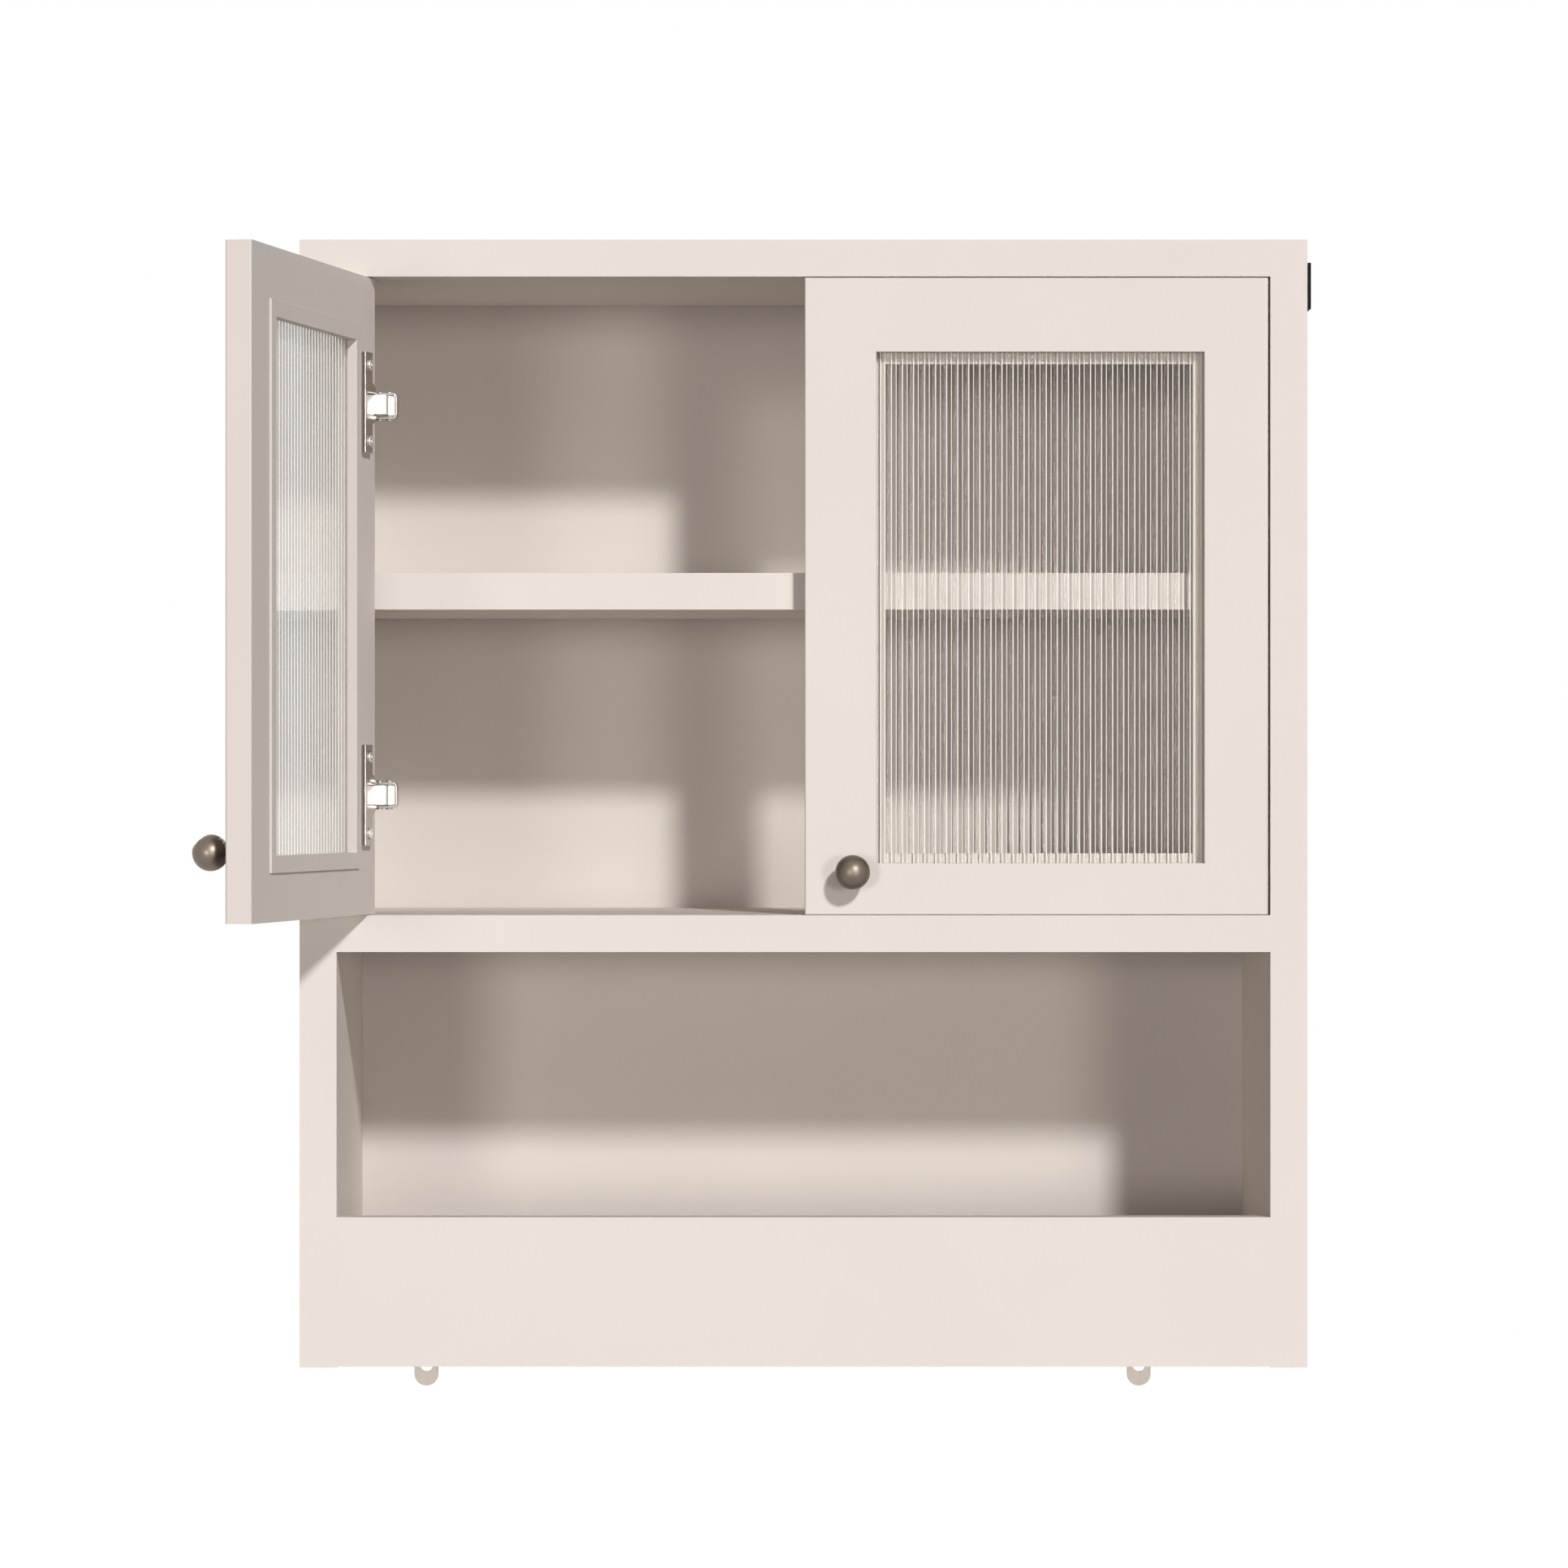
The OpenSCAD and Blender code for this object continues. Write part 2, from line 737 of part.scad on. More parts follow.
module hinge_neck(side, z) {
    color(nickel) hinge_side(side) {
        difference() {
            union() {
                translate([0, 0, z - neck_half]) linear_extrude(2 * neck_half) neck_plan();
                block([tail_x, tail_y, z - neck_half],
                    [arm_out - cheek_t - boss_gap, tail_y + tail_len, z + neck_half]);
                for (x = rivet_x) rod_z([x, rivet_y, z - boss_h], boss_r, 2 * boss_h);
            }
            for (x = rivet_x) rod_z([x, rivet_y, z - arm_h], rivet_r + run_fit, 2 * arm_h);
        }
    }
}

module left_upper_hinge_neck() { hinge_neck("left", upper_z); }
module left_lower_hinge_neck() { hinge_neck("left", lower_z); }
module right_upper_hinge_neck() { hinge_neck("right", upper_z); }
module right_lower_hinge_neck() { hinge_neck("right", lower_z); }

// One cheek of the arm, in plan
module cheek_plan() {
    polygon([
        [tail_x, tail_y], [arm_out, tail_y], [arm_out, slope_from],
        [arm_top_x, slope_to], [arm_top_x, arm_rear], [arm_low_x, arm_rear],
        [arm_low_x, under_to], [tail_x, under_from]
    ]);
}

// Turns a shape over at height z if up is 1
module mirror_at(z, up) {
    translate([0, 0, z]) mirror([0, 0, up]) translate([0, 0, -z]) children();
}

module hinge_arm(side, z) {
    color(nickel) hinge_side(side) difference() {
        translate([0, 0, z - arm_h / 2]) linear_extrude(arm_h) cheek_plan();
        translate([0, 0, z - arm_h / 2 + cheek_t]) linear_extrude(arm_h - 2 * cheek_t)
            translate([-cheek_t, 0]) cheek_plan();
        for (up = [0, 1]) mirror_at(z, up) translate([arm_out, tail_y - 1, z + arm_h / 2])
            rotate([-90, 0, 0]) linear_extrude(wing_from) rotate(90) corner_waste(arm_round);
        for (x = rivet_x) rod_z([x, rivet_y, z - arm_h], rivet_r + run_fit, 2 * arm_h);
        rod_x([arm_low_x, arm_screw_y, z], arm_screw_r + slip_fit, arm_top_x);
    }
}

module left_upper_hinge_arm() { hinge_arm("left", upper_z); }
module left_lower_hinge_arm() { hinge_arm("left", lower_z); }
module right_upper_hinge_arm() { hinge_arm("right", upper_z); }
module right_lower_hinge_arm() { hinge_arm("right", lower_z); }

// The plate on the side board that carries the arm
module hinge_plate(side, z) {
    rail_half = arm_h / 2 - cheek_t - slip_fit;
    color(nickel) {
        hinge_side(side) difference() {
            union() {
                block([0, plate_from, z - rail_half], [plate_x, plate_to, z + rail_half]);
                block([0, wing_from, z - wing_half], [wing_t, wing_to, z + wing_half]);
            }
            for (dz = [-plate_screw_z, plate_screw_z])
                rod_x([-1, (wing_from + wing_to) / 2, z + dz], plate_screw_r + run_fit, wing_t + 2);
            rod_x([arm_screw_from - bore_past, arm_screw_y, z], arm_screw_r + run_fit, arm_top_x);
        }
    }
}

module left_upper_hinge_plate() { hinge_plate("left", upper_z); }
module left_lower_hinge_plate() { hinge_plate("left", lower_z); }
module right_upper_hinge_plate() { hinge_plate("right", upper_z); }
module right_lower_hinge_plate() { hinge_plate("right", lower_z); }

// Every hinge's place, as its side and height
hinge_places = [["left", upper_z], ["left", lower_z], ["right", upper_z], ["right", lower_z]];

module hinge_rivets() {
    color(nickel)
        for (h = hinge_places)
            hinge_side(h[0])
                for (x = rivet_x) {
                    rod_z([x, rivet_y, h[1] - arm_h / 2 - eps], rivet_r, arm_h + 2 * eps);
                    for (z = [h[1] - arm_h / 2 - rivet_head_h, h[1] + arm_h / 2])
                        rod_z([x, rivet_y, z], rivet_head_r, rivet_head_h);
                }
}

module plate_screws() {
    color(nickel)
        for (h = hinge_places) {
            hinge_side(h[0])
                for (dz = [-plate_screw_z, plate_screw_z]) {
                    y = (wing_from + wing_to) / 2;
                    rod_x([-plate_screw_len, y, h[1] + dz], plate_screw_r,
                        plate_screw_len + wing_t + eps);
                    rod_x([wing_t, y, h[1] + dz], plate_head_r, plate_head_h);
                }
        }
}

module arm_screws() {
    color(nickel)
        for (h = hinge_places)
            hinge_side(h[0]) {
                rod_x([arm_screw_from, arm_screw_y, h[1]], arm_screw_r,
                    arm_top_x - arm_screw_from + eps);
                rod_x([arm_top_x, arm_screw_y, h[1]], arm_head_r, arm_head_h);
            }
}

left_side_panel();
right_side_panel();
top_panel();
divider_panel();
bottom_panel();
back_panel();
front_apron();
shelf();
shelf_pins();
panel_dowels();
upper_rail();
lower_rail();
hanger_plates();
hanger_screws();
left_wall_lug();
right_wall_lug();
lug_screws();
side_hook();
hook_screws();
left_door_frame();
left_fluted_glass();
left_glass_bead();
left_knob();
left_knob_screw();
left_upper_hinge_cup();
left_lower_hinge_cup();
left_cup_screws();
left_hinge_pins();
right_door_frame();
right_fluted_glass();
right_glass_bead();
right_knob();
right_knob_screw();
right_upper_hinge_cup();
right_lower_hinge_cup();
right_cup_screws();
right_hinge_pins();
left_upper_hinge_neck();
left_lower_hinge_neck();
right_upper_hinge_neck();
right_lower_hinge_neck();
left_upper_hinge_arm();
left_lower_hinge_arm();
right_upper_hinge_arm();
right_lower_hinge_arm();
left_upper_hinge_plate();
left_lower_hinge_plate();
right_upper_hinge_plate();
right_lower_hinge_plate();
hinge_rivets();
plate_screws();
arm_screws();
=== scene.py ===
"""Medicine cabinet with reeded glass doors: paint, glass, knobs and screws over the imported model.

The file is laid out as an add-on. The sizes and colours that a user would change are properties,
each group of pieces has an operator of its own, and a panel in the 3D view's sidebar lists them.
Lengths are in metres. The doors face -Y, and "closed" below means a door turned shut.
"""

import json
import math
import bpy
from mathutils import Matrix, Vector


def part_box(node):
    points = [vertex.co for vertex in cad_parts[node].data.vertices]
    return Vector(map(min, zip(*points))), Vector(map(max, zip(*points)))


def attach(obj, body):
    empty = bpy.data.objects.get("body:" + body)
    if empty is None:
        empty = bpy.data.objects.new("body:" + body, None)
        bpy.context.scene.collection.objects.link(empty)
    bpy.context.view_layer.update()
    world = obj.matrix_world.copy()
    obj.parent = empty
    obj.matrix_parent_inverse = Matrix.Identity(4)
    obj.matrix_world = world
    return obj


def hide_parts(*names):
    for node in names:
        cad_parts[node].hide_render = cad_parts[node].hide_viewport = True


bl_info = {
    "name": "Medicine Cabinet Finishes",
    "version": (1, 0, 0),
    "blender": (4, 5, 0),
    "location": "View3D > Sidebar > Cabinet",
    "description": "Paints, glazes and fits out a wall cabinet with two reeded glass doors",
    "category": "Object",
}

import bmesh
import bpy
from mathutils import Matrix, Vector

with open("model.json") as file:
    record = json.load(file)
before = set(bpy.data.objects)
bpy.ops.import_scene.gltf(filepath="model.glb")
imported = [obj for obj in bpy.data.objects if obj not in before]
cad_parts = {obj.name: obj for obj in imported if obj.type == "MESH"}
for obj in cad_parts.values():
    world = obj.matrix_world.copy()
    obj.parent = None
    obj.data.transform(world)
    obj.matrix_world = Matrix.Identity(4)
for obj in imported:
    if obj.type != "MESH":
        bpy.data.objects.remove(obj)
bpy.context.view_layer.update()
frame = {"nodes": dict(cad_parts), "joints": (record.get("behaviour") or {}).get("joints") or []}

SIDES = ("left", "right")
LEVELS = ("upper", "lower")
CASE_BOARDS = (
    "left_side_panel",
    "right_side_panel",
    "top_panel",
    "divider_panel",
    "bottom_panel",
    "front_apron",
    "shelf",
)
JOINTS = {joint["child"]: joint for joint in frame["joints"]}

# Less than any size or share that counts
TINY = 1e-6
# Decimals that tell points apart, and decimals by which boxes are put in order
POINT_DIGITS = 6
ORDER_DIGITS = 5

# Eased edges: faces across one, and the least angle between faces that is eased
EDGE_FACES = 2
EDGE_ANGLE = math.radians(35)

# Sizes of the patches of colour and of gloss in a finish, and the detail of the noises
MOTTLE_SIZE = 0.12
MOTTLE_DETAIL = 3.0
GLOSS_SIZE = 0.02
PLAIN_DETAIL = 2.0
# Share by which the roughness varies, and the grain's height by its size
GLOSS_SPREAD = 0.08
GRAIN_HEIGHT = 0.1
# The middle range of noise, which is spread over a whole range
NOISE_LOW, NOISE_HIGH = 0.3, 0.7

# Painted highlight on hinge edges: cosine of the rounded normal's lean where the pale edge colour
# starts and where it is full, and how many rays look for an edge
GLINT_STARTS, GLINT_FULL = 0.99, 0.9
EDGE_SAMPLES = 6

# How far a rib's painted highlight strip at its foot rises, by the rib's height, and reaches out,
# by the foot's width
FOOT_RISE = 0.3
FOOT_REACH = 0.6

# The knob's foot and neck radius by the ball's, its foot's height and roundings, and its facets
KNOB_FOOT = 0.48
KNOB_NECK = 0.36
KNOB_FOOT_HEIGHT = 0.0016
KNOB_SEAT_ROUND = 0.0004
KNOB_FOOT_ROUND = 0.0007
KNOB_NECK_ROUND = 0.0012
KNOB_STEPS = 72
BALL_STEPS = 40

# Screws: head height and shank radius by the head's radius, and the head's rounding by its height
FLAT_HEAD = 0.3
DOMED_HEAD = 0.55
SHANK = 0.45
HEAD_ROUND = 0.45
SCREW_STEPS = 48
# The cross recess at the top and on its floor: reach, half width and level
RECESS = ((0.62, 0.14, 1.0), (0.34, 0.10, 0.15))

WHITE = (1, 1, 1)
WARM = (1, 0.95, 0.89)
# Each lamp's colour, angular size, and degrees to the right of the front and up
LAMPS = {
    "key": (WHITE, 4.7, 20.2, 27.1),
    "left_fill": (WARM, 11.6, -19.4, 1.2),
    "right_fill": (WARM, 10.7, 23.0, 1.2),
    "behind": (WHITE, 20.0, -158.0, 18.0),
}
# The camera's sensor in millimetres, and how far it sees in metres
SENSOR_WIDTH = 36
FARTHEST_SEEN = 50


# Sizes and colours that a user would change


def colour_property(name, description, default):
    """A colour with its name and default, for a property group."""
    return bpy.props.FloatVectorProperty(
        name=name, description=description, subtype="COLOR", size=3, min=0, max=1, default=default
    )


def length_property(name, description, default):
    """A length in metres, for a property group."""
    return bpy.props.FloatProperty(
        name=name, description=description, unit="LENGTH", min=0, precision=5, default=default
    )


def share_property(name, description, default):
    """A share from 0 to 1, for a property group."""
    return bpy.props.FloatProperty(
        name=name, description=description, subtype="FACTOR", min=0, max=1, default=default
    )


def light_property(name, description, default):
    """A light's strength, for a property group."""
    return bpy.props.FloatProperty(name=name, description=description, min=0, default=default)


class CabinetPaint(bpy.types.PropertyGroup):
    """The satin paint on the boards and doors."""

    colour: colour_property("Colour", "Colour of the paint", (0.76, 0.702, 0.66))
    back_shade: share_property("Back shade", "How light the back panel is beside the boards", 0.84)
    roughness: share_property("Roughness", "Roughness of the dry paint", 0.58)
    grain: length_property("Grain size", "Size of the roller's fine grain", 0.0011)
    edge: length_property("Board edge", "Width of the eased edges of the boards", 0.00035)
    door_edge: length_property("Door edge", "Width of the eased edges of the doors", 0.00025)
    bead_edge: length_property("Bead edge", "Width of the eased edges of the glass beads", 0.0002)


class CabinetWood(bpy.types.PropertyGroup):
    """The bare wood at the wall side and in the joints."""

    board: colour_property("Bare board", "Colour of the two rails", (0.48, 0.40, 0.32))
    beech: colour_property("Beech", "Colour of the dowels", (0.60, 0.42, 0.24))
    edge: length_property("Rail edge", "Width of the eased edges of the rails", 0.0005)


class CabinetGlass(bpy.types.PropertyGroup):
    """The reeded panes."""

    colour: colour_property("Colour", "Tint of the glass", (0.93, 0.925, 0.91))
    roughness: share_property("Roughness", "Roughness of the glass", 0.015)
    ior: bpy.props.FloatProperty(
        name="Refraction", description="Index of refraction of the glass", min=1, default=1.5
    )
    mirror: share_property("Mirror", "How strongly the glass mirrors what is around it", 0.3)
    passed: colour_property("Passed light", "Tint of light that goes through", (1, 0.995, 0.99))
    passed_share: share_property("Passed share", "Share of light that one face lets through", 0.985)
    pitch: length_property("Rib spacing", "Distance between two ribs", 0.0066)
    rib_width: length_property("Rib width", "Width of one rib", 0.0038)
    rib_height: length_property("Rib height", "How far a rib stands out of the pane", 0.0009)
    rib_steps: bpy.props.IntProperty(
        name="Rib steps", description="Faces across one rib", min=4, max=24, default=12
    )
    # The strip at a rib's foot is pale and opaque: a painted highlight for the bright lines of the
    # reeded glass
    foot: length_property("Rib foot", "Width of the bright line at a rib's foot", 0.0004)
    foot_highlight_colour: colour_property("Foot colour", "Colour of the bright line", (0.95, 0.93, 0.90))


class CabinetMetal(bpy.types.PropertyGroup):
    """The hinges, screws, knobs, wall fixings and side hook."""

    nickel: colour_property("Nickel", "Colour of the plated hinges", (0.46, 0.43, 0.40))
    # Painted highlight: a pale colour painted along the hinges' edges where light glints on them,
    # and the share of it that the edges take
    painted_edge_glint: colour_property("Worn nickel", "Colour of the hinges' worn edges", (0.96, 0.95, 0.93))
    glint_share: share_property("Wear", "How much of the worn colour the edges take", 0.9)
    rounding: length_property("Rounding", "How wide the hinges' edges look rounded", 0.0007)
    # Painted light: the necks are a lighter copy of the hinges' nickel, so they look near white
    # where they face the lamps
    neck: colour_property("Neck", "Colour of the hinges' bright necks", (0.85, 0.83, 0.80))
    # Painted light: the screws are a lighter copy of the hinges' nickel, so their glints show
    # bright
    screw: colour_property("Screw", "Colour of the hinge screws", (0.84, 0.83, 0.81))
    bronze: colour_property("Bronze", "Colour of the knobs", (0.185, 0.152, 0.125))
    zinc: colour_property("Zinc", "Colour of the keyhole plates", (0.52, 0.52, 0.50))
    lug: colour_property("Lug paint", "Colour of the wall lugs", (0.95, 0.88, 0.80))
    black: colour_property("Black", "Colour of the side hook", (0.012, 0.012, 0.013))
    edge: length_property("Metal edge", "Width of the eased edges of sheet metal", 0.0004)
    cup_edge: length_property("Cup edge", "Width of the eased edges of the cups", 0.00015)
    small_edge: length_property("Small edge", "Width of the eased edges of small metal", 0.0003)


class CabinetStage(bpy.types.PropertyGroup):
    """The camera, lights and floor."""

    lens: bpy.props.FloatProperty(
        name="Lens", description="Focal length on a 36 mm sensor", unit="CAMERA", min=1,
        default=140.3,
    )
    distance: length_property("Distance", "From the camera to the cabinet's front", 3.638)
    offset: length_property("Offset", "Camera's offset to the left of and above the centre", 0.0116)
    key: light_property("Key light", "Strength of the key from the right and above", 2.18)
    left_fill: light_property("Left fill", "Strength of the soft light from the left", 0.72)
    right_fill: light_property("Right fill", "Strength of the soft light from the right", 0.65)
    behind: light_property("Behind", "Strength of the light on the cabinet's back", 1.2)
    sky: light_property("Sky", "Strength of the light from overhead, none at the horizon", 0.04)
    sky_colour: colour_property("Sky colour", "Colour of the light from overhead", (1, 0.88, 0.75))
    floor_drop: length_property("Floor drop", "From the cabinet's lower edge to the floor", 0.75)
    floor_size: length_property("Floor size", "Side of the square floor", 6.0)
    floor_colour: colour_property("Floor colour", "Colour of the lit floor", (0.5, 0.48, 0.46))
    floor_glow: share_property("Floor paleness", "White that the floor shows beside its light", 0.8)


# Node and mesh helpers


def add_node(tree, kind, **settings):
    """A new node of that kind, with attributes and inputs set by name.

    An input's setting is a value, or the output of another node that feeds it.
    """
    node = tree.nodes.new(kind)
    for name, value in settings.items():
        if hasattr(node, name):
            setattr(node, name, value)
        else:
            feed(tree, node.inputs[name.replace("_", " ")], value)
    return node


def feed(tree, socket, value):
    """Sets an input to a value, or links it to another node's output."""
    if isinstance(value, bpy.types.NodeSocket):
        tree.links.new(value, socket)
    else:
        socket.default_value = value


def calculate(tree, operation, first, second):
    """The output of a Math node on two values or outputs."""
    node = add_node(tree, "ShaderNodeMath", operation=operation)
    feed(tree, node.inputs[0], first)
    feed(tree, node.inputs[1], second)
    return node.outputs["Value"]


def blend_colours(tree, share, first, second):
    """The output that goes from the first colour to the second as share goes from 0 to 1."""
    node = add_node(tree, "ShaderNodeMix", data_type="RGBA", Factor=share, A=first, B=second)
    return node.outputs["Result"]


def blend_shaders(tree, share, first, second):
    """The shader that goes from the first to the second as share goes from 0 to 1."""
    node = add_node(tree, "ShaderNodeMixShader")
    for socket, value in zip(node.inputs, (share, first, second)):
        tree.links.new(value, socket)
    return node.outputs["Shader"]


def new_material(name):
    """An empty material, its node tree and the input of its surface."""
    material = bpy.data.materials.new(name)
    material.use_nodes = True
    material.node_tree.nodes.clear()
    output = add_node(material.node_tree, "ShaderNodeOutputMaterial")
    return material, material.node_tree, output.inputs["Surface"]


def noise(tree, coords, size, detail=PLAIN_DETAIL):
    """Noise whose features are about size metres across, on the object's own coordinates."""
    texture = add_node(tree, "ShaderNodeTexNoise", Scale=1 / size, Detail=detail, Vector=coords)
    return texture.outputs["Fac"]


def spread(tree, value, low, high):
    """The noise's middle range spread from low to high."""
    ramp = add_node(tree, "ShaderNodeMapRange", Value=value, From_Min=NOISE_LOW,
                    From_Max=NOISE_HIGH, To_Min=low, To_Max=high)
    return ramp.outputs["Result"]


def seen_share(tree):
    """1 for rays that show a surface, directly, in a mirror or through glass, and 0 for light."""
    path = add_node(tree, "ShaderNodeLightPath").outputs
    mirrored = calculate(tree, "MAXIMUM", path["Is Glossy Ray"], path["Is Transmission Ray"])
    return calculate(tree, "MAXIMUM", path["Is Camera Ray"], mirrored)


def shaded(colour, share=1.0):
    """The colour with its light scaled by share, as a node's four values."""
    return (*(min(1.0, channel * share) for channel in colour), 1.0)


def rounded_edges(tree, radius):
    """The normal rounded within radius of an edge, and a value that rises to 1 at the edge."""
    soft = add_node(tree, "ShaderNodeBevel", samples=EDGE_SAMPLES, Radius=radius).outputs["Normal"]
    flat = add_node(tree, "ShaderNodeNewGeometry").outputs["True Normal"]
    likeness = add_node(tree, "ShaderNodeVectorMath", operation="DOT_PRODUCT")
    tree.links.new(soft, likeness.inputs[0])
    tree.links.new(flat, likeness.inputs[1])
    edge = add_node(tree, "ShaderNodeMapRange", Value=likeness.outputs["Value"],
                    From_Min=GLINT_STARTS, From_Max=GLINT_FULL, To_Min=0.0, To_Max=1.0)
    return soft, edge.outputs["Result"]


def finish_material(name, colour, roughness, metallic=0.0, mottle=0.03, grain=0.001, depth=0.15,
                    specular=0.5, rounding=0.0, glint_share=0.0):
    """A solid finish with faint colour and gloss variation and a fine bumped grain.

    Where rounding is not 0 the edges are shaded as rounded to that radius, and the share after it
    is how much of their colour goes over to a pale painted highlight, where light glints on the
    edges.
    """
    material, tree, surface = new_material(name)
    coords = add_node(tree, "ShaderNodeTexCoord").outputs["Object"]
    patches = spread(tree, noise(tree, coords, MOTTLE_SIZE, MOTTLE_DETAIL), 0, 1)
    tint = blend_colours(tree, patches, shaded(colour, 1 - mottle), shaded(colour, 1 + mottle))
    bump = add_node(tree, "ShaderNodeBump", Strength=depth, Distance=grain * GRAIN_HEIGHT,
                    Height=noise(tree, coords, grain))
    if rounding:
        soft, edge = rounded_edges(tree, rounding)
        tree.links.new(soft, bump.inputs["Normal"])
        # Painted highlight: the edges go over to a pale colour that stands in for light glinting on
        # them
        painted_edge_glint = shaded(bpy.context.scene.cabinet_metal.painted_edge_glint)
        tint = blend_colours(tree, calculate(tree, "MULTIPLY", edge, glint_share), tint, painted_edge_glint)
    gloss = spread(tree, noise(tree, coords, GLOSS_SIZE), roughness * (1 - GLOSS_SPREAD),
                   roughness * (1 + GLOSS_SPREAD))
    shader = add_node(tree, "ShaderNodeBsdfPrincipled", Base_Color=tint, Metallic=metallic,
                      Roughness=gloss, Normal=bump.outputs["Normal"], Specular_IOR_Level=specular)
    tree.links.new(shader.outputs["BSDF"], surface)
    return material


def paint_material(name="satin_paint", shade=1.0):
    """The cabinet's satin paint, or a shade of it."""
    paint = bpy.context.scene.cabinet_paint
    colour = [channel * shade for channel in paint.colour]
    return finish_material(name, colour, paint.roughness, mottle=0.012, grain=paint.grain,
                           depth=0.2, specular=0.15)


def glass_material():
    """Clear glass that lets the lamps through, so that the shelves behind it are lit."""
    glass = bpy.context.scene.cabinet_glass
    material, tree, surface = new_material("reeded_glass")
    pane = add_node(tree, "ShaderNodeBsdfPrincipled", Base_Color=shaded(glass.colour),
                    Specular_Tint=shaded(WHITE, glass.mirror), Roughness=glass.roughness,
                    IOR=glass.ior, Transmission_Weight=1.0)
    clear = add_node(tree, "ShaderNodeBsdfTransparent",
                     Color=shaded(glass.passed, glass.passed_share))
    path = add_node(tree, "ShaderNodeLightPath").outputs
    light = calculate(tree, "MAXIMUM", path["Is Shadow Ray"], path["Is Diffuse Ray"])
    both = blend_shaders(tree, light, pane.outputs["BSDF"], clear.outputs["BSDF"])
    tree.links.new(both, surface)
    return material


def rib_highlight_material():
    """A pale opaque strip at a rib's foot: a painted highlight for the reeded glass's bright lines,
    also lit by the lamps.
    """
    colour = bpy.context.scene.cabinet_glass.foot_highlight_colour
    return finish_material("rib_foot", colour, roughness=0.35, mottle=0.02, grain=0.0005)


def dress(node, material, edge=0.0):
    """Gives a CAD node its material and, where edge is not 0, eased edges of that width."""
    piece = frame["nodes"][node]
    if piece.material_slots:
        for place in piece.material_slots:
            place.material = material
    else:
        piece.data.materials.append(material)
    if edge:
        weld = piece.modifiers.new("Joined faces", "WELD")
        weld.merge_threshold = TINY
        eased = piece.modifiers.new("Eased edges", "BEVEL")
        eased.width = edge
        eased.segments = EDGE_FACES
        eased.limit_method = "ANGLE"
        eased.angle_limit = EDGE_ANGLE


def finished_mesh(work, name):
    """The mesh of a bmesh, with its faces turned outward."""
    bmesh.ops.recalc_face_normals(work, faces=work.faces)
    mesh = bpy.data.meshes.new(name)
    work.to_mesh(mesh)
    work.free()
    return mesh


def make_piece(name, mesh, material, body, stands_for):
    """A piece of the dressed cabinet from a mesh, riding on a body in place of CAD nodes."""
    piece = bpy.data.objects.new(name, mesh)
    bpy.context.scene.collection.objects.link(piece)
    mesh.materials.append(material)
    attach(piece, body)
    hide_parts(*stands_for)
    return piece


def body_of_side(side):
    """The name of the body that a side's door is."""
    return side + "_door"


def door_turn(side):
    """The turn from the closed door to where the door stands at rest.

    The left door stands open at rest, and is closed at the far end of its range.
    """
    joint = JOINTS[body_of_side(side)]
    closed = max(joint["range_deg"], key=abs) if side == "left" else 0.0
    pin = Matrix.Translation(Vector(joint["pos_m"]))
    turn = Matrix.Rotation(math.radians(-closed), 4, Vector(joint["axis"]))
    return pin @ turn @ pin.inverted()


def box_of(points):
    """Lowest and highest corner of some points."""
    low = Vector(min(point[axis] for point in points) for axis in range(3))
    high = Vector(max(point[axis] for point in points) for axis in range(3))
    return low, high


def closed_box(node, side):
    """Lowest and highest corner of a door's CAD node with the door closed."""
    back = door_turn(side).inverted()
    return box_of([back @ vertex.co for vertex in frame["nodes"][node].data.vertices])


def closed_solid_boxes(node, side=None):
    """Boxes of a CAD node's separate solids, with the door closed where a side is given."""
    back = door_turn(side).inverted() if side else Matrix.Identity(4)
    mesh = frame["nodes"][node].data
    owner = {}

    def root(key):
        while owner[key] != key:
            key = owner[key]
        return key

    keys = [tuple(round(value, POINT_DIGITS) for value in vertex.co) for vertex in mesh.vertices]
    for key in keys:
        owner[key] = key
    for polygon in mesh.polygons:
        first = root(keys[polygon.vertices[0]])
        for at in polygon.vertices[1:]:
            owner[root(keys[at])] = first
    groups = {}
    for key, vertex in zip(keys, mesh.vertices):
        groups.setdefault(root(key), []).append(back @ vertex.co)
    boxes = [box_of(points) for points in groups.values()]
    return sorted(boxes, key=lambda box: [round(v, ORDER_DIGITS) for v in (*box[0], *box[1])])


# Glass


def reeded_outline(low, high, glass):
    """The pane's plan as (x, y, sharp corner, painted highlight from here) points, ribs to the
    front.
    """
    width = high.x - low.x
    count = int(width / glass.pitch + TINY)
    first = low.x + (width - (count - 1) * glass.pitch) / 2
    half = glass.rib_width / 2
    radius = (half**2 + glass.rib_height**2) / (2 * glass.rib_height)
    root = low.y + glass.rib_height
    rise = glass.rib_height * FOOT_RISE
    reach = math.sqrt(radius**2 - (radius - glass.rib_height + rise) ** 2)
    outer = half + glass.foot * FOOT_REACH
    outline = [(low.x, root, True, False)]
    for rib in range(count):
        middle = first + rib * glass.pitch
        outline.append((middle - outer, root, True, True))
        for step in range(glass.rib_steps + 1):
            x = middle + reach * math.sin((step / glass.rib_steps - 0.5) * math.pi)
            y = low.y + radius - math.sqrt(radius**2 - (x - middle) ** 2)
            last = step == glass.rib_steps
            outline.append((x, y, step == 0 or last, last))
        outline.append((middle + outer, root, True, False))
    return outline + [(high.x, root, True, False), (high.x, high.y, True, False),
                      (low.x, high.y, True, False)]


